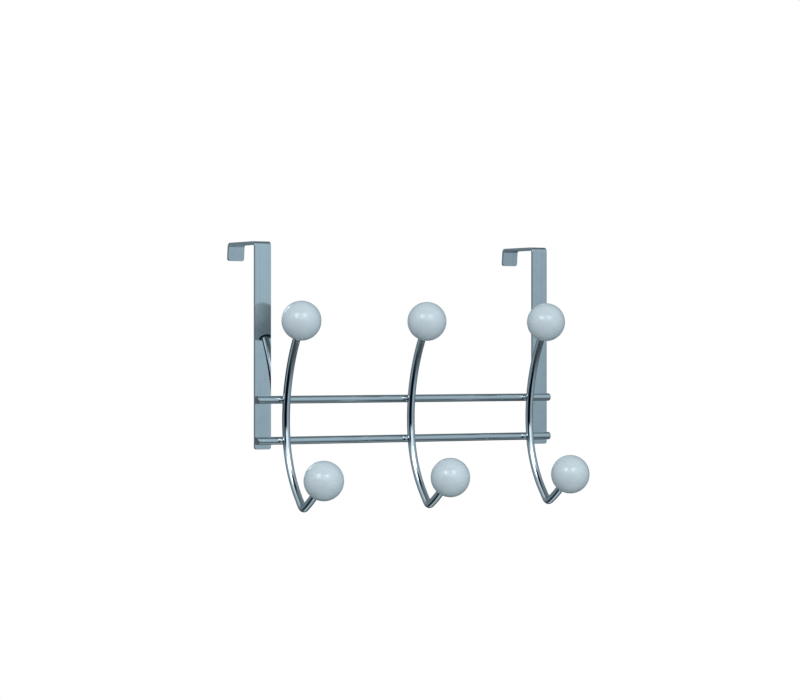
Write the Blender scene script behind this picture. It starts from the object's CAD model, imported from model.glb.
import logging
import math
from dataclasses import dataclass, field
from enum import Enum

import bpy
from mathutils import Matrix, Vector


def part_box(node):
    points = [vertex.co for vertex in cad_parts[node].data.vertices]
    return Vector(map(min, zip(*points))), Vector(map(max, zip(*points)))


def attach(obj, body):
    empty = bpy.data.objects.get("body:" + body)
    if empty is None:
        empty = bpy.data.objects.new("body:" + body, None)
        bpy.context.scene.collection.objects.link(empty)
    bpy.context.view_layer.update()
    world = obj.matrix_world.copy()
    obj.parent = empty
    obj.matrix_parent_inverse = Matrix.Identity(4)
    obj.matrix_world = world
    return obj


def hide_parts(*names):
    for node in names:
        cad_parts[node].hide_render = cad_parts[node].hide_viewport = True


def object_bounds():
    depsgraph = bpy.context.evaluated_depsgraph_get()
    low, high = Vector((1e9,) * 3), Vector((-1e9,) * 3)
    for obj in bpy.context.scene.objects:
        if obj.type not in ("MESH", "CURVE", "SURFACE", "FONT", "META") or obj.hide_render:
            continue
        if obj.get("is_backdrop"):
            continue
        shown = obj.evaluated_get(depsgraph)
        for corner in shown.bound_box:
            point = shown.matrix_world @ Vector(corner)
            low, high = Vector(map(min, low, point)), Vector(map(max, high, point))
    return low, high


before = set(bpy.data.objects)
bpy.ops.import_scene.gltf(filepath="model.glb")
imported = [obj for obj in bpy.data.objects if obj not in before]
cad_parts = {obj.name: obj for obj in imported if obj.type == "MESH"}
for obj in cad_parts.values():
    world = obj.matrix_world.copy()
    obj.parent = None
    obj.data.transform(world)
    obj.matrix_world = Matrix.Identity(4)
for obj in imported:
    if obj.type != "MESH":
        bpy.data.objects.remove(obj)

LOG = logging.getLogger("door_rack")
BODY = "root"
Colour = tuple[float, float, float]
Span = tuple[float, float]
Factors = tuple[float, float, float]


class Side(Enum):
    """The two straps."""

    LEFT = "left"
    RIGHT = "right"


class Hook(Enum):
    """The three hooks."""

    LEFT = "left"
    MIDDLE = "middle"
    RIGHT = "right"


class Level(Enum):
    """The two rods, and the two ends of each hook."""

    UPPER = "upper"
    LOWER = "lower"


# ---------------------------------------------------------------- node helpers

# Socket numbers of a Mix node that mixes colours.
MIX_FACTOR, MIX_FIRST, MIX_SECOND, MIX_RESULT = 0, 6, 7, 2


class Graph:
    """Adds nodes and links to one node tree in few words."""

    def __init__(self, tree: bpy.types.NodeTree) -> None:
        """Take the tree that the nodes go into."""
        self.tree = tree

    def plug(self, socket: bpy.types.NodeSocket, value: object) -> None:
        """Link an input socket, or set its value.

        Args:
            socket: The input socket.
            value: A socket to link, or a value to set.
        """
        if isinstance(value, bpy.types.NodeSocket):
            self.tree.links.new(value, socket)
        else:
            socket.default_value = value

    def add(self, kind: str, **settings: object) -> bpy.types.Node:
        """Add a node and set its properties.

        Args:
            kind: The node's Blender type name.
            settings: Properties of the node by name.

        Returns:
            The new node.
        """
        node = self.tree.nodes.new(kind)
        for name, value in settings.items():
            setattr(node, name, value)
        return node

    def feed(self, node: bpy.types.Node, **inputs: object) -> bpy.types.Node:
        """Set or link a node's inputs, written with _ for each space.

        Args:
            node: The node to feed.
            inputs: A socket to link, or a value to set, for each input.

        Returns:
            The same node.
        """
        for name, value in inputs.items():
            self.plug(node.inputs[name.replace("_", " ")], value)
        return node

    def math(self, operation: str, *values: object, clamp: bool = False) -> bpy.types.NodeSocket:
        """Put values through a Math node.

        Args:
            operation: The node's operation.
            values: A socket or a number for each input.
            clamp: Whether the result is held between 0 and 1.

        Returns:
            The result's socket.
        """
        node = self.add("ShaderNodeMath", operation=operation, use_clamp=clamp)
        for socket, value in zip(node.inputs, values):
            self.plug(socket, value)
        return node.outputs[0]

    def product(self, *values: object) -> bpy.types.NodeSocket:
        """Multiply values with one another.

        Args:
            values: Two or more sockets or numbers.

        Returns:
            The product's socket.
        """
        result = values[0]
        for value in values[1:]:
            result = self.math("MULTIPLY", result, value)
        return result

    def stretched(self, vector: bpy.types.NodeSocket, scale: object) -> bpy.types.NodeSocket:
        """Scale a vector or a colour by three factors.

        Args:
            vector: What to scale.
            scale: A socket, or three numbers.

        Returns:
            The scaled vector's socket.
        """
        node = self.add("ShaderNodeVectorMath", operation="MULTIPLY")
        self.plug(node.inputs[0], vector)
        self.plug(node.inputs[1], scale)
        return node.outputs[0]

    def place_on_piece(self) -> bpy.types.NodeSocket:
        """The place on the piece, in metres from its own origin."""
        return self.add("ShaderNodeTexCoord").outputs["Object"]

    def noise(self, vector: bpy.types.NodeSocket, scale: object, detail: float = 2.0,
              roughness: float = 0.5) -> bpy.types.NodeSocket:
        """Sample a noise texture.

        Args:
            vector: Where to sample it.
            scale: Its scale, a socket or a number.
            detail: Number of finer layers.
            roughness: Strength of each finer layer against the one before.

        Returns:
            The socket of the noise's value.
        """
        node = self.add("ShaderNodeTexNoise")
        self.feed(node, Vector=vector, Scale=scale, Detail=detail, Roughness=roughness)
        return node.outputs["Fac"]

    def spread(self, value: object, low: object, high: object, start: object = 0.0,
               end: object = 1.0) -> bpy.types.NodeSocket:
        """Map a value smoothly from one range onto another, held at both ends.

        Args:
            value: The value.
            low: Where the result is at its start.
            high: Where the result is at its end.
            start: The result at low.
            end: The result at high.

        Returns:
            The result's socket.
        """
        node = self.add("ShaderNodeMapRange", interpolation_type="SMOOTHSTEP")
        self.feed(node, Value=value, From_Min=low, From_Max=high, To_Min=start, To_Max=end)
        return node.outputs[0]

    def mix(self, factor: object, first: object, second: object) -> bpy.types.NodeSocket:
        """Mix two colours.

        Args:
            factor: Share of the second colour.
            first: The first colour.
            second: The second colour.

        Returns:
            The mixed colour's socket.
        """
        node = self.add("ShaderNodeMix", data_type="RGBA")
        for index, value in ((MIX_FACTOR, factor), (MIX_FIRST, first), (MIX_SECOND, second)):
            self.plug(node.inputs[index], value)
        return node.outputs[MIX_RESULT]

    def place(self, group: bpy.types.NodeTree, **inputs: object) -> bpy.types.Node:
        """Place a shared effect and feed its inputs."""
        return self.feed(self.add("ShaderNodeGroup", node_tree=group), **inputs)

    def bump(self, height: bpy.types.NodeSocket, depth: float,
             strength: float = 1.0) -> bpy.types.NodeSocket:
        """Raise the surface by a height.

        Args:
            height: The height, from 0 to 1.
            depth: What a height of 1 stands for, in metres.
            strength: Share of the effect.

        Returns:
            The bent normal's socket.
        """
        node = self.add("ShaderNodeBump")
        self.feed(node, Height=height, Strength=strength, Distance=depth)
        return node.outputs["Normal"]


def opaque(colour: Colour) -> tuple[float, float, float, float]:
    """Add a full alpha to a colour."""
    return (*colour, 1.0)


def new_material(name: str) -> tuple[bpy.types.Material, Graph, bpy.types.Node]:
    """Start a material.

    Args:
        name: The material's name.

    Returns:
        The material, its graph and its Principled shader.
    """
    material = bpy.data.materials.new(name)
    material.use_nodes = True
    return material, Graph(material.node_tree), material.node_tree.nodes["Principled BSDF"]


# ---------------------------------------------------------------- shared surface effects

class Effects:
    """Shader node groups that several finishes share, each built once."""

    BROAD_LINES = {"scale": 0.45, "detail": 3.0}
    BROAD_SHARE = 0.6
    FINE_LINES = {"scale": 2.3, "detail": 4.0, "roughness": 0.6}
    FINE_SHARE = 0.4
    MIDDLE = 0.5
    HAZE_CLOUD = {"detail": 4.0, "roughness": 0.55}
    HAZE_RANGE = (0.46, 0.70)
    SPECK_RANGE = (0.22, 0.05)
    DUSTY_PLACES = {"scale": 140.0, "detail": 2.0}
    DUSTY_RANGE = (0.50, 0.68)
    UPWARD_RANGE = (-0.2, 0.9)
    LEAST_DUST = 0.12

    def __init__(self) -> None:
        """Build every shared effect."""
        self.streaks = self._streaks()
        self.haze = self._haze()
        self.dust = self._dust()
        self.sawn_ends = self._sawn_ends()

    @staticmethod
    def _new(name: str, inputs: dict[str, tuple[str, object]], outputs: dict[str, str]) \
            -> tuple[bpy.types.NodeTree, Graph, bpy.types.Node, bpy.types.Node]:
        """Start a group with named sockets.

        Args:
            name: The group's name.
            inputs: Socket type and default value for each input.
            outputs: Socket type for each output.

        Returns:
            The group, its graph, and its input and output nodes.
        """
        group = bpy.data.node_groups.new(name, "ShaderNodeTree")
        for label, (kind, value) in inputs.items():
            socket = group.interface.new_socket(label, in_out="INPUT", socket_type=kind)
            socket.default_value = value
        for label, kind in outputs.items():
            group.interface.new_socket(label, in_out="OUTPUT", socket_type=kind)
        graph = Graph(group)
        return group, graph, graph.add("NodeGroupInput"), graph.add("NodeGroupOutput")

    def _streaks(self) -> bpy.types.NodeTree:
        """Fine drawing and polishing lines along one direction.

        Returns:
            The group, which puts out the lines' mask and height.
        """
        group, graph, given, out = self._new(
            "polishing_streaks",
            {"Stretch": ("NodeSocketVector", (1000.0, 20.0, 20.0)),
             "Contrast": ("NodeSocketFloat", 0.5)},
            {"Mask": "NodeSocketFloat", "Height": "NodeSocketFloat"})
        along = graph.stretched(graph.place_on_piece(), given.outputs["Stretch"])
        broad = graph.noise(along, **self.BROAD_LINES)
        fine = graph.noise(along, **self.FINE_LINES)
        both = graph.math("ADD", graph.product(broad, self.BROAD_SHARE),
                          graph.product(fine, self.FINE_SHARE))
        centred = graph.math("SUBTRACT", both, self.MIDDLE)
        mask = graph.math("ADD", graph.product(centred, given.outputs["Contrast"]), self.MIDDLE,
                          clamp=True)
        graph.feed(out, Mask=mask, Height=both)
        return group

    def _haze(self) -> bpy.types.NodeTree:
        """Soft smudges where hands and cloths have touched the surface.

        Returns:
            The group, which puts out the smudges' mask.
        """
        group, graph, given, out = self._new(
            "handling_haze",
            {"Scale": ("NodeSocketFloat", 60.0), "Amount": ("NodeSocketFloat", 0.5)},
            {"Mask": "NodeSocketFloat"})
        cloud = graph.noise(graph.place_on_piece(), given.outputs["Scale"], **self.HAZE_CLOUD)
        smudges = graph.spread(cloud, *self.HAZE_RANGE)
        graph.feed(out, Mask=graph.product(smudges, given.outputs["Amount"]))
        return group

    def _dust(self) -> bpy.types.NodeTree:
        """Sparse specks of dust, most of them on faces that look up.

        Returns:
            The group, which puts out the specks' mask.
        """
        group, graph, given, out = self._new(
            "settled_dust",
            {"Scale": ("NodeSocketFloat", 900.0), "Amount": ("NodeSocketFloat", 0.3)},
            {"Mask": "NodeSocketFloat"})
        place = graph.place_on_piece()
        cells = graph.add("ShaderNodeTexVoronoi")
        graph.feed(cells, Vector=place, Scale=given.outputs["Scale"])
        speck = graph.spread(cells.outputs["Distance"], *self.SPECK_RANGE)
        rare = graph.spread(graph.noise(place, **self.DUSTY_PLACES), *self.DUSTY_RANGE)
        normal = graph.add("ShaderNodeSeparateXYZ")
        graph.feed(normal, Vector=graph.add("ShaderNodeNewGeometry").outputs["Normal"])
        facing = graph.spread(normal.outputs["Z"], *self.UPWARD_RANGE, start=self.LEAST_DUST)
        mask = graph.math("MULTIPLY", graph.product(speck, rare),
                          graph.product(facing, given.outputs["Amount"]), clamp=True)
        graph.feed(out, Mask=mask)
        return group

    def _sawn_ends(self) -> bpy.types.NodeTree:
        """The dull ends of a bar that lies along X, from its half length.

        Returns:
            The group, which puts out the ends' mask.
        """
        group, graph, given, out = self._new(
            "sawn_ends",
            {"Half Length": ("NodeSocketFloat", 1.0), "Depth": ("NodeSocketFloat", 0.001)},
            {"Mask": "NodeSocketFloat"})
        place = graph.add("ShaderNodeSeparateXYZ")
        graph.feed(place, Vector=graph.place_on_piece())
        inside = graph.math("SUBTRACT", given.outputs["Half Length"],
                            graph.math("ABSOLUTE", place.outputs["X"]))
        graph.feed(out, Mask=graph.spread(inside, given.outputs["Depth"], 0.0))
        return group


# ---------------------------------------------------------------- finishes

@dataclass(frozen=True)
class ChromePlate:
    """Polished chrome plate with faint lines along the stock it covers.

    Lengths are in metres. A finish with a half length also gets the dull ends of a sawn bar.
    """

    name: str
    colour: Colour = (0.66, 0.70, 0.73)
    hazed_colour: Colour = (0.58, 0.63, 0.66)
    roughness: float = 0.035
    hazed_roughness: float = 0.13
    stretch: Factors = (1100.0, 14.0, 14.0)
    line_depth: float = 0.0000012
    line_contrast: float = 0.8
    line_weight: float = 0.25
    haze_scale: float = 55.0
    haze_amount: float = 0.55
    dust_scale: float = 800.0
    dust_amount: float = 0.35
    dust_colour: Colour = (0.62, 0.62, 0.60)
    dust_roughness: float = 0.4
    half_length: float | None = None
    end_depth: float = 0.0012
    end_colour: Colour = (0.34, 0.37, 0.39)
    end_roughness: float = 0.42

    def build(self, effects: Effects) -> bpy.types.Material:
        """Build the material.

        Args:
            effects: The shared effects.

        Returns:
            The material.
        """
        material, graph, shader = new_material(self.name)
        streaks = graph.place(effects.streaks, Stretch=self.stretch, Contrast=self.line_contrast)
        haze = graph.place(effects.haze, Scale=self.haze_scale, Amount=self.haze_amount)
        dust = graph.place(effects.dust, Scale=self.dust_scale, Amount=self.dust_amount)
        worn = graph.math("ADD", haze.outputs["Mask"],
                          graph.product(streaks.outputs["Mask"], self.line_weight), clamp=True)
        clean = graph.mix(worn, opaque(self.colour), opaque(self.hazed_colour))
        colour = graph.mix(dust.outputs["Mask"], clean, opaque(self.dust_colour))
        rough = graph.spread(worn, 0.0, 1.0, self.roughness, self.hazed_roughness)
        rough = self._rougher(graph, rough, dust.outputs["Mask"], self.dust_roughness)
        if self.half_length is not None:
            ends = graph.place(effects.sawn_ends, Half_Length=self.half_length,
                               Depth=self.end_depth)
            colour = graph.mix(ends.outputs["Mask"], colour, opaque(self.end_colour))
            rough = self._rougher(graph, rough, ends.outputs["Mask"], self.end_roughness)
        normal = graph.bump(streaks.outputs["Height"], self.line_depth)
        graph.feed(shader, Base_Color=colour, Metallic=1.0, Roughness=rough, Normal=normal)
        return material

    @staticmethod
    def _rougher(graph: Graph, rough: bpy.types.NodeSocket, mask: bpy.types.NodeSocket,
                 gain: float) -> bpy.types.NodeSocket:
        """Add roughness where a mask is set."""
        return graph.math("ADD", rough, graph.product(mask, gain), clamp=True)


@dataclass(frozen=True)
class GlossyWhite:
    """Moulded white knob with a soft gloss and a trace of moulding ripple.

    Lengths are in metres.
    """

    name: str = "glossy_white_knob"
    colour: Colour = (0.83, 0.875, 0.90)
    shade: Colour = (0.78, 0.83, 0.86)
    roughness: float = 0.17
    haze_scale: float = 90.0
    haze_amount: float = 0.5
    haze_roughness: float = 0.06
    dust_scale: float = 1500.0
    dust_amount: float = 0.10
    dust_colour: Colour = (0.55, 0.55, 0.53)
    ripple_scale: float = 80.0
    ripple_depth: float = 0.000006
    refraction: float = 1.5
    coat: float = 0.30
    coat_roughness: float = 0.11
    glow: float = 0.08
    glow_reach: float = 0.004

    def build(self, effects: Effects) -> bpy.types.Material:
        """Build the material.

        Args:
            effects: The shared effects.

        Returns:
            The material.
        """
        material, graph, shader = new_material(self.name)
        haze = graph.place(effects.haze, Scale=self.haze_scale, Amount=self.haze_amount)
        dust = graph.place(effects.dust, Scale=self.dust_scale, Amount=self.dust_amount)
        body = graph.mix(haze.outputs["Mask"], opaque(self.colour), opaque(self.shade))
        colour = graph.mix(dust.outputs["Mask"], body, opaque(self.dust_colour))
        rough = graph.spread(haze.outputs["Mask"], 0.0, 1.0, self.roughness,
                             self.roughness + self.haze_roughness)
        ripple = graph.noise(graph.place_on_piece(), self.ripple_scale, detail=0.0)
        normal = graph.bump(ripple, self.ripple_depth)
        graph.feed(shader, Base_Color=colour, Roughness=rough, Normal=normal,
                   IOR=self.refraction, Coat_Weight=self.coat,
                   Coat_Roughness=self.coat_roughness, Subsurface_Weight=self.glow,
                   Subsurface_Radius=(self.glow_reach,) * 3, Subsurface_Scale=1.0)
        return material


@dataclass(frozen=True)
class BlackBush:
    """Matt black moulded bush with a fine eroded grain.

    Lengths are in metres.
    """

    name: str = "matt_black_bush"
    colour: Colour = (0.008, 0.009, 0.011)
    worn_colour: Colour = (0.028, 0.030, 0.033)
    haze_scale: float = 300.0
    haze_amount: float = 0.7
    grain_scale: float = 2600.0
    grain_range: Span = (0.3, 0.7)
    grain_roughness: Span = (0.42, 0.62)
    grain_strength: float = 0.6
    grain_depth: float = 0.00003

    def build(self, effects: Effects) -> bpy.types.Material:
        """Build the material.

        Args:
            effects: The shared effects.

        Returns:
            The material.
        """
        material, graph, shader = new_material(self.name)
        haze = graph.place(effects.haze, Scale=self.haze_scale, Amount=self.haze_amount)
        colour = graph.mix(haze.outputs["Mask"], opaque(self.colour), opaque(self.worn_colour))
        grain = graph.noise(graph.place_on_piece(), self.grain_scale)
        rough = graph.spread(grain, *self.grain_range, *self.grain_roughness)
        normal = graph.bump(grain, self.grain_depth, self.grain_strength)
        graph.feed(shader, Base_Color=colour, Roughness=rough, Normal=normal)
        return material


@dataclass(frozen=True)
class PaleFloor:
    """Plain pale floor paint with a faint mottle."""

    name: str = "pale_floor"
    colours: tuple[Colour, Colour] = ((0.84, 0.86, 0.87), (0.88, 0.90, 0.91))
    mottle_scale: float = 3.0
    mottle_detail: float = 4.0
    mottle_range: Span = (0.3, 0.7)
    roughness: float = 0.9
    glow: float = 0.5
    glow_colour: Colour = (1, 1, 1)

    def build(self) -> bpy.types.Material:
        """Build the material.

        Returns:
            The material.
        """
        material, graph, shader = new_material(self.name)
        cloud = graph.noise(graph.place_on_piece(), self.mottle_scale, self.mottle_detail)
        mottle = graph.spread(cloud, *self.mottle_range)
        paint = graph.mix(mottle, *(opaque(colour) for colour in self.colours))
        graph.feed(shader, Base_Color=paint, Roughness=self.roughness,
                   Emission_Strength=self.glow, Emission_Color=opaque(self.glow_colour))
        return material


# ---------------------------------------------------------------- the rack's pieces

# Points closer than this, in metres, are one point.
JOIN_REACH = 1e-6
# Edges that turn more than this are rounded.
SHARP_TURN = math.radians(30)
# Percentage by which a face's size counts for the normals round it.
FACE_WEIGHT = 100


def dress(node: str, material: bpy.types.Material) -> bpy.types.Object:
    """Give a CAD node one finish all over.

    Args:
        node: The CAD node's name.
        material: The finish.

    Returns:
        The node's object.
    """
    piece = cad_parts[node]
    piece.data.materials.clear()
    piece.data.materials.append(material)
    return piece


def soften_edges(piece: bpy.types.Object, width: float, segments: int) -> None:
    """Break a piece's sharp edges with a small round, so that they catch the light.

    Args:
        piece: The object.
        width: Width of the round in metres.
        segments: Faces across the round.
    """
    weld = piece.modifiers.new("join_faces", "WELD")
    weld.merge_threshold = JOIN_REACH
    bevel = piece.modifiers.new("broken_edges", "BEVEL")
    bevel.width = width
    bevel.segments = segments
    bevel.limit_method = "ANGLE"
    bevel.angle_limit = SHARP_TURN
    bevel.use_clamp_overlap = False
    bevel.harden_normals = False
    normals = piece.modifiers.new("even_normals", "WEIGHTED_NORMAL")
    normals.keep_sharp = False
    normals.weight = FACE_WEIGHT


@dataclass
class DoorStrap:
    """One flat strap with its hook over the door. A wider edge round makes spikes at the foot."""

    side: Side
    finish: bpy.types.Material
    edge_round: float = 0.0002
    edge_faces: int = 3

    def build(self) -> None:
        """Dress the strap and break its edges."""
        strap = dress(f"{self.side.value}_strap", self.finish)
        strap.data.shade_smooth()
        soften_edges(strap, self.edge_round, self.edge_faces)
        LOG.info("strap %s", self.side.value)


@dataclass
class CrossRod:
    """One round rod across both straps."""

    level: Level
    finish: bpy.types.Material

    def build(self) -> None:
        """Dress the rod."""
        dress(f"{self.level.value}_rod", self.finish)
        LOG.info("rod %s", self.level.value)


@dataclass
class HookWire:
    """One bent wire hook."""

    hook: Hook
    finish: bpy.types.Material

    def build(self) -> None:
        """Dress the wire."""
        dress(f"{self.hook.value}_hook", self.finish)
        LOG.info("hook %s", self.hook.value)


@dataclass
class BallKnob:
    """A ball knob and the black bush in its mouth."""

    hook: Hook
    level: Level
    finish: bpy.types.Material
    bush_finish: bpy.types.Material

    def build(self) -> None:
        """Dress the ball and its bush."""
        name = f"{self.hook.value}_{self.level.value}"
        dress(f"{name}_knob", self.finish)
        dress(f"{name}_bush", self.bush_finish)
        LOG.info("knob %s", name)


@dataclass
class StrapWelds:
    """The small weld fillets that hold both rods to one strap."""

    side: Side
    finish: bpy.types.Material
    edge_round: float = 0.0003
    edge_faces: int = 3

    def build(self) -> None:
        """Dress the fillets and melt their edges round."""
        fillets = dress(f"{self.side.value}_strap_welds", self.finish)
        fillets.data.shade_smooth()
        soften_edges(fillets, self.edge_round, self.edge_faces)
        LOG.info("strap welds %s", self.side.value)


@dataclass
class HookWelds:
    """Two hollow-faced weld collars that hold one hook to the rods.

    Each collar fills the crevice round the place where the wire rests on the rod. Its face sweeps
    in a hollow curve from the rod up to the wire, with the faint ripple of a cooling puddle.
    Lengths are in metres. The feet are half widths along and across the rod.
    """

    hook: Hook
    finish: bpy.types.Material
    bow_radius: float = 0.120
    sink: float = 0.0001
    rod_foot: Span = (0.0044, 0.0026)
    wire_foot: Span = (0.0026, 0.0032)
    crevice: float = 0.0019
    core: float = 0.0010
    steps: int = 72
    rows: int = 10
    ripples: int = 11
    ripple_height: float = 0.00006

    def build(self) -> None:
        """Make both collars as one piece in place of the plain beads."""
        node = f"{self.hook.value}_hook_welds"
        low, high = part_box(f"{self.hook.value}_hook")
        across = (low.x + high.x) / 2
        wire_radius = (high.x - low.x) / 2
        rods = [self._rod(level) for level in Level]
        half = (rods[0][0].z - rods[1][0].z) / 2
        points: list[Vector] = []
        faces: list[tuple[int, ...]] = []
        for (axis, rod_radius), way in zip(rods, (-1, 1)):
            lift = math.asin(half / (self.bow_radius + rod_radius + wire_radius - self.sink))
            out = Vector((0, -math.cos(lift), way * math.sin(lift)))
            origin = Vector((across, axis.y, axis.z)) + out * rod_radius
            self._collar(origin, out, rod_radius, wire_radius, points, faces)
        mesh = bpy.data.meshes.new(f"{self.hook.value}_weld_collars")
        mesh.from_pydata(points, [], faces)
        mesh.shade_smooth()
        mesh.materials.append(self.finish)
        collars = bpy.data.objects.new(mesh.name, mesh)
        bpy.context.scene.collection.objects.link(collars)
        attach(collars, BODY)
        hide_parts(node)
        LOG.info("hook welds %s", self.hook.value)

    @staticmethod
    def _rod(level: Level) -> tuple[Vector, float]:
        """Find a rod's axis and radius.

        Args:
            level: Which rod.

        Returns:
            A point on the axis, and the radius.
        """
        low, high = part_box(f"{level.value}_rod")
        radius = (high.z - low.z) / 2
        return Vector((0, low.y + radius, (low.z + high.z) / 2)), radius

    def _collar(self, origin: Vector, out: Vector, rod_radius: float, wire_radius: float,
                points: list[Vector], faces: list[tuple[int, ...]]) -> None:
        """Add one closed collar round the contact point.

        Args:
            origin: The contact point.
            out: Direction from the rod's axis to the wire's.
            rod_radius: Radius of the rod.
            wire_radius: Radius of the wire.
            points: Grows by the collar's points.
            faces: Grows by the collar's faces.
        """
        along = Vector((1, 0, 0))
        upward = out.cross(along)
        first = len(points)
        ring = self.rows + 2
        for step in range(self.steps):
            profile = self._profile(2 * math.pi * step / self.steps, rod_radius, wire_radius)
            points.extend(origin + along * x + upward * y + out * z for x, y, z in profile)
        for step in range(self.steps):
            here, there = first + step * ring, first + (step + 1) % self.steps * ring
            for row in range(ring):
                after = (row + 1) % ring
                faces.append((here + row, there + row, there + after, here + after))

    def _profile(self, turn: float, rod_radius: float,
                 wire_radius: float) -> list[tuple[float, ...]]:
        """Find the collar's section in one direction from the contact point.

        Args:
            turn: The direction in radians, from the rod's own.
            rod_radius: Radius of the rod.
            wire_radius: Radius of the wire.

        Returns:
            Points from the foot on the rod to the foot on the wire, then the one in the core.
            Each is along the rod, across it and out from it.
        """
        cos, sin = math.cos(turn), math.sin(turn)
        swell = 1 + self.ripple_height / self.crevice * math.cos(self.ripples * turn)
        foot = (self.rod_foot[0] * cos * swell, self.rod_foot[1] * sin * swell)
        head = (self.wire_foot[0] * cos * swell, self.wire_foot[1] * sin * swell)
        foot_up = math.sqrt(rod_radius ** 2 - foot[1] ** 2) - rod_radius
        head_up = wire_radius - math.sqrt(wire_radius ** 2 - head[0] ** 2)
        bend = (self.crevice * cos * swell, self.crevice * sin * swell)
        curves = ((foot[0], bend[0], head[0]), (foot[1], bend[1], head[1]),
                  (foot_up, 0.0, head_up))
        profile = []
        for row in range(self.rows + 1):
            t = row / self.rows
            weights = ((1 - t) ** 2, 2 * t * (1 - t), t ** 2)
            profile.append(tuple(sum(weight * part for weight, part in zip(weights, parts))
                                 for parts in curves))
        profile.append((self.core * cos, self.core * sin, 0.0))
        return profile


# ---------------------------------------------------------------- studio

def outward(azimuth: float, elevation: float) -> Vector:
    """Direction to a place seen from the rack.

    Args:
        azimuth: Degrees from straight in front, towards the rack's right.
        elevation: Degrees above the horizon.

    Returns:
        A unit vector.
    """
    turn, lift = math.radians(azimuth), math.radians(elevation)
    return Vector((math.sin(turn) * math.cos(lift), -math.cos(turn) * math.cos(lift),
                   math.sin(lift)))


def point_at(thing: bpy.types.Object, aim: Vector) -> None:
    """Turn a light or a camera to the aim point."""
    thing.rotation_mode = "QUATERNION"
    thing.rotation_quaternion = (aim - thing.location).to_track_quat("-Z", "Y")


@dataclass(frozen=True)
class Softbox:
    """A round soft light, placed by the direction it shines from.

    Angles are in degrees, lengths in metres and the power in watts. One that isn't mirrored lights
    only matt surfaces.
    """

    name: str
    azimuth: float
    elevation: float
    distance: float
    diameter: float
    power: float
    colour: Colour = (0.91, 0.97, 1.0)
    mirrored: bool = True

    def build(self, aim: Vector) -> None:
        """Hang the light and turn it to the aim point.

        Args:
            aim: The middle of the rack.
        """
        light = bpy.data.lights.new(self.name, "AREA")
        light.shape = "DISK"
        light.size = self.diameter
        light.energy = self.power
        light.color = self.colour
        lamp = bpy.data.objects.new(self.name, light)
        bpy.context.scene.collection.objects.link(lamp)
        lamp.location = aim + outward(self.azimuth, self.elevation) * self.distance
        point_at(lamp, aim)
        lamp.visible_camera = False
        lamp.visible_glossy = self.mirrored


@dataclass(frozen=True)
class WallPatch:
    """A soft-edged lit or dark patch of the studio's walls, by direction in degrees."""

    name: str
    azimuth: Span
    elevation: Span
    side_blur: float
    foot_blur: float
    head_blur: float
    colour: Colour

    def cover(self, graph: Graph, azimuth: bpy.types.NodeSocket,
              elevation: bpy.types.NodeSocket) -> bpy.types.NodeSocket:
        """Find how far the patch covers each direction.

        Args:
            graph: The world's graph.
            azimuth: Degrees from straight in front of the rack, towards its right.
            elevation: Degrees above the horizon.

        Returns:
            The cover's socket, from 0 to 1.
        """
        left, right = self.azimuth
        foot, head = self.elevation
        return graph.product(
            graph.spread(azimuth, left - self.side_blur, left + self.side_blur),
            graph.spread(azimuth, right + self.side_blur, right - self.side_blur),
            graph.spread(elevation, foot - self.foot_blur, foot + self.foot_blur),
            graph.spread(elevation, head + self.head_blur, head - self.head_blur))


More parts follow.
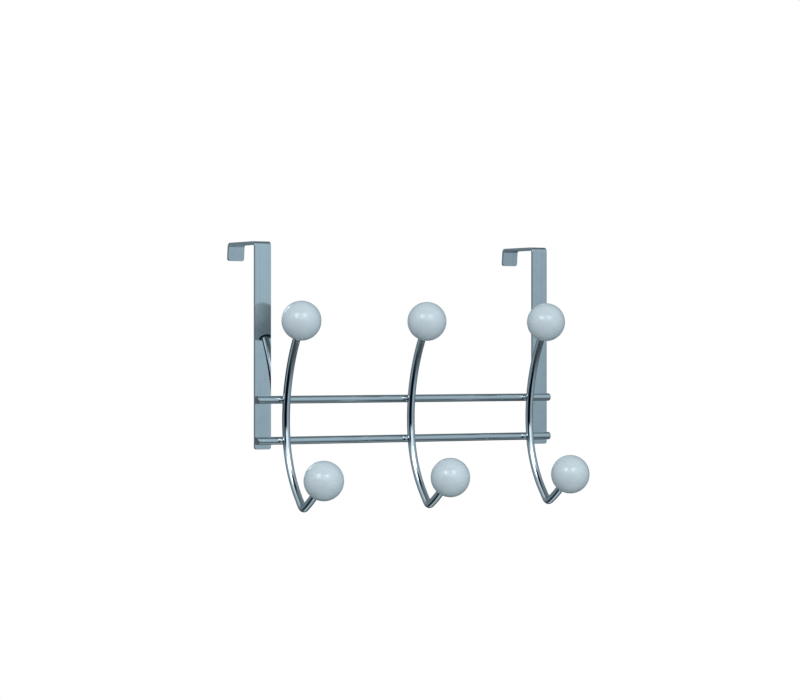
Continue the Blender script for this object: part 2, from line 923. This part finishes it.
@dataclass
class Studio:
    """Pale floor, soft lights and the plain walls that the chrome mirrors.

    The walls' brightness is set by direction, and their lit floor patch stands in for the floor
    wherever the rack mirrors it. Angles are in degrees and lengths in metres. The fill lamps light
    only matt surfaces, and the low one has to hang above the floor.
    """

    floor_finish: PaleFloor = PaleFloor()
    floor_drop: float = 0.75
    floor_radius: float = 4.0
    floor_sides: int = 96
    backdrop: Colour = (1.0, 1.0, 1.0)
    # Azimuth and brightness.
    walls: tuple[Span, ...] = (
        (-180, 0.12), (-150, 0.22), (-130, 0.28), (-108, 0.38), (-90, 0.24), (-20, 0.34),
        (0, 0.46), (22, 0.54), (29, 0.51), (35, 0.425), (60, 0.36), (92, 0.18), (120, 0.10),
        (150, 0.19), (180, 0.12))
    wall_tint: Colour = (0.90, 1.16, 1.30)
    low_band: Span = (-12.0, -46.0)
    low_level: float = 0.22
    eye_band: Span = (-3.0, 3.0)
    eye_levels: Span = (0.90, 1.09)
    high_band: Span = (3.5, 9.0)
    high_level: float = 1.09
    ceiling_band: Span = (44.0, 60.0)
    ceiling: Colour = (0.17, 0.215, 0.225)
    patches: tuple[WallPatch, ...] = (
        # Name, azimuths, elevations, blur at the sides, foot and head, and colour.
        WallPatch("lit_floor", (-400, 400), (-120, -56), 9, 9, 9, (0.42, 0.53, 0.58)),
        WallPatch("dark_corner", (-140, -106), (-66, -30), 8, 6, 6, (0.015, 0.020, 0.025)),
        WallPatch("dark_ceiling", (-60, 24), (46, 61), 9, 3, 5, (0.006, 0.010, 0.035)),
        WallPatch("dark_doorway", (-82, -3), (-35, 13), 8, 8, 3, (0.001, 0.003, 0.011)),
        WallPatch("left_screen", (-96, -36), (13, 41), 8, 3, 6, (1.12, 1.27, 1.35)),
        WallPatch("right_screen", (-40, 14), (4.5, 41), 8, 3, 6, (1.12, 1.27, 1.35)),
    )
    softboxes: tuple[Softbox, ...] = (
        # Name, azimuth, elevation, distance, diameter and power.
        Softbox("left_softbox", -61, 29.5, 2.6, 1.00, 9.0),
        Softbox("right_softbox", -10, 29.5, 2.6, 1.00, 7.1),
        Softbox("low_fill", 0, -32, 1.05, 0.70, 1.25, mirrored=False),
        Softbox("top_fill", -30, 75, 1.50, 0.90, 0.9, mirrored=False),
        Softbox("rear_fill", 115, 5, 1.50, 0.90, 1.3, mirrored=False),
        Softbox("side_fill", -125, -5, 1.50, 0.90, 1.4, mirrored=False),
    )

    def build(self) -> None:
        """Make the floor, the walls' light and the lamps."""
        low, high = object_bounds()
        aim = (low + high) / 2
        self._floor(Vector((aim.x, aim.y, low.z - self.floor_drop)))
        self._world()
        for softbox in self.softboxes:
            softbox.build(aim)
        LOG.info("studio with %d lights", len(self.softboxes))

    def _floor(self, middle: Vector) -> None:
        """Lay a round floor under the rack. The walls' own lit patch is mirrored in its place.

        Args:
            middle: The floor's middle.
        """
        rim = [middle + Vector((math.cos(turn), math.sin(turn), 0)) * self.floor_radius
               for turn in (2 * math.pi * n / self.floor_sides for n in range(self.floor_sides))]
        faces = [(0, 1 + n, 1 + (n + 1) % self.floor_sides) for n in range(self.floor_sides)]
        mesh = bpy.data.meshes.new("studio_floor")
        mesh.from_pydata([middle, *rim], [], faces)
        mesh.materials.append(self.floor_finish.build())
        floor = bpy.data.objects.new("studio_floor", mesh)
        bpy.context.scene.collection.objects.link(floor)
        floor.visible_diffuse = False
        floor.visible_glossy = False
        floor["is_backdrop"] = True

    def _world(self) -> None:
        """Light the scene with soft walls, and show a plain white ground behind the rack."""
        world = bpy.data.worlds.new("studio_walls")
        bpy.context.scene.world = world
        world.use_nodes = True
        tree = world.node_tree
        tree.nodes.clear()
        graph = Graph(tree)
        direction = graph.add("ShaderNodeSeparateXYZ")
        graph.feed(direction, Vector=graph.add("ShaderNodeTexCoord").outputs["Generated"])
        across, depth, height = direction.outputs
        turn = graph.math("ARCTAN2", across, graph.product(depth, -1.0))
        azimuth = graph.product(turn, math.degrees(1.0))
        elevation = graph.product(graph.math("ARCSINE", height), math.degrees(1.0))
        walls = graph.feed(graph.add("ShaderNodeBackground"), Strength=1.0,
                           Color=self._wall_light(graph, azimuth, elevation))
        ground = graph.feed(graph.add("ShaderNodeBackground"), Strength=1.0,
                            Color=opaque(self.backdrop))
        seen = graph.add("ShaderNodeMixShader")
        camera_ray = graph.add("ShaderNodeLightPath").outputs["Is Camera Ray"]
        for socket, value in zip(seen.inputs, (camera_ray, walls.outputs[0], ground.outputs[0])):
            graph.plug(socket, value)
        graph.feed(graph.add("ShaderNodeOutputWorld"), Surface=seen.outputs[0])

    def _wall_light(self, graph: Graph, azimuth: bpy.types.NodeSocket,
                    elevation: bpy.types.NodeSocket) -> bpy.types.NodeSocket:
        """Find the colour of the light from each direction.

        Args:
            graph: The world's graph.
            azimuth: Degrees from straight in front of the rack, towards its right.
            elevation: Degrees above the horizon.

        Returns:
            The colour's socket.
        """
        dimmed = graph.stretched(self._round_the_walls(graph, azimuth), graph.product(
            graph.spread(elevation, *self.low_band, 1.0, self.low_level),
            graph.spread(elevation, *self.eye_band, *self.eye_levels),
            graph.spread(elevation, *self.high_band, 1.0, self.high_level)))
        light = graph.mix(graph.spread(elevation, *self.ceiling_band), dimmed,
                          opaque(self.ceiling))
        for patch in self.patches:
            light = graph.mix(patch.cover(graph, azimuth, elevation), light, opaque(patch.colour))
        return light

    def _round_the_walls(self, graph: Graph,
                         azimuth: bpy.types.NodeSocket) -> bpy.types.NodeSocket:
        """Find the walls' colour at eye level, all the way round.

        Args:
            graph: The world's graph.
            azimuth: Degrees from straight in front of the rack, towards its right.

        Returns:
            The colour's socket.
        """
        ramp = graph.add("ShaderNodeValToRGB")
        ramp.color_ramp.interpolation = "EASE"
        stops = ramp.color_ramp.elements
        stops.remove(stops[1])
        for index, (angle, level) in enumerate(self.walls):
            share = (angle + 180) / 360
            stop = stops[0] if index == 0 else stops.new(share)
            stop.position = share
            stop.color = opaque(tuple(level * part for part in self.wall_tint))
        graph.feed(ramp, Fac=graph.math("DIVIDE", graph.math("ADD", azimuth, 180.0), 360.0))
        return ramp.outputs["Color"]


@dataclass
class ViewCamera:
    """Long-lens camera level with the rack, to the left of its front.

    Angles are in degrees, places and the distance in metres, the lens and sensor in millimetres.
    """

    azimuth: float = -31.55
    elevation: float = 0.0
    distance: float = 2.2274
    lens: float = 128.8
    sensor: float = 36.0
    aim: Vector = field(default_factory=lambda: Vector((-0.005, -0.002, -0.0803)))

    def build(self) -> None:
        """Place the camera and make it the scene's own."""
        data = bpy.data.cameras.new("view_camera")
        data.lens = self.lens
        data.sensor_width = self.sensor
        camera = bpy.data.objects.new("view_camera", data)
        bpy.context.scene.collection.objects.link(camera)
        camera.location = self.aim + outward(self.azimuth, self.elevation) * self.distance
        point_at(camera, self.aim)
        bpy.context.scene.camera = camera
        LOG.info("camera %.1f degrees left of the front", -self.azimuth)


# ---------------------------------------------------------------- everything in order

def main() -> None:
    """Dress the rack, light it and set the camera."""
    logging.basicConfig(level=logging.INFO, format="%(name)s: %(message)s")
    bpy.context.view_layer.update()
    ViewCamera().build()
    effects = Effects()
    strip = ChromePlate("chrome_strip", roughness=0.02, hazed_roughness=0.05,
                        stretch=(1200.0, 7.0, 7.0), line_depth=0.0000004, line_contrast=5.0,
                        line_weight=0.8, haze_scale=110.0).build(effects)
    low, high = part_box("upper_rod")
    rod = ChromePlate("chrome_rod", stretch=(12.0, 900.0, 900.0),
                      half_length=(high.x - low.x) / 2).build(effects)
    wire = ChromePlate("chrome_wire", roughness=0.05, stretch=(600.0, 12.0, 12.0),
                       line_depth=0.0000003).build(effects)
    weld = ChromePlate("chrome_weld", roughness=0.14,
                       stretch=(500.0, 500.0, 500.0)).build(effects)
    white = GlossyWhite().build(effects)
    black = BlackBush().build(effects)
    for side in Side:
        DoorStrap(side, strip).build()
        StrapWelds(side, weld).build()
    for level in Level:
        CrossRod(level, rod).build()
    for hook in Hook:
        HookWire(hook, wire).build()
        HookWelds(hook, weld).build()
        for level in Level:
            BallKnob(hook, level, white, black).build()
    Studio().build()
    bpy.context.scene.view_settings.view_transform = "Standard"


if __name__ == "__main__":
    main()
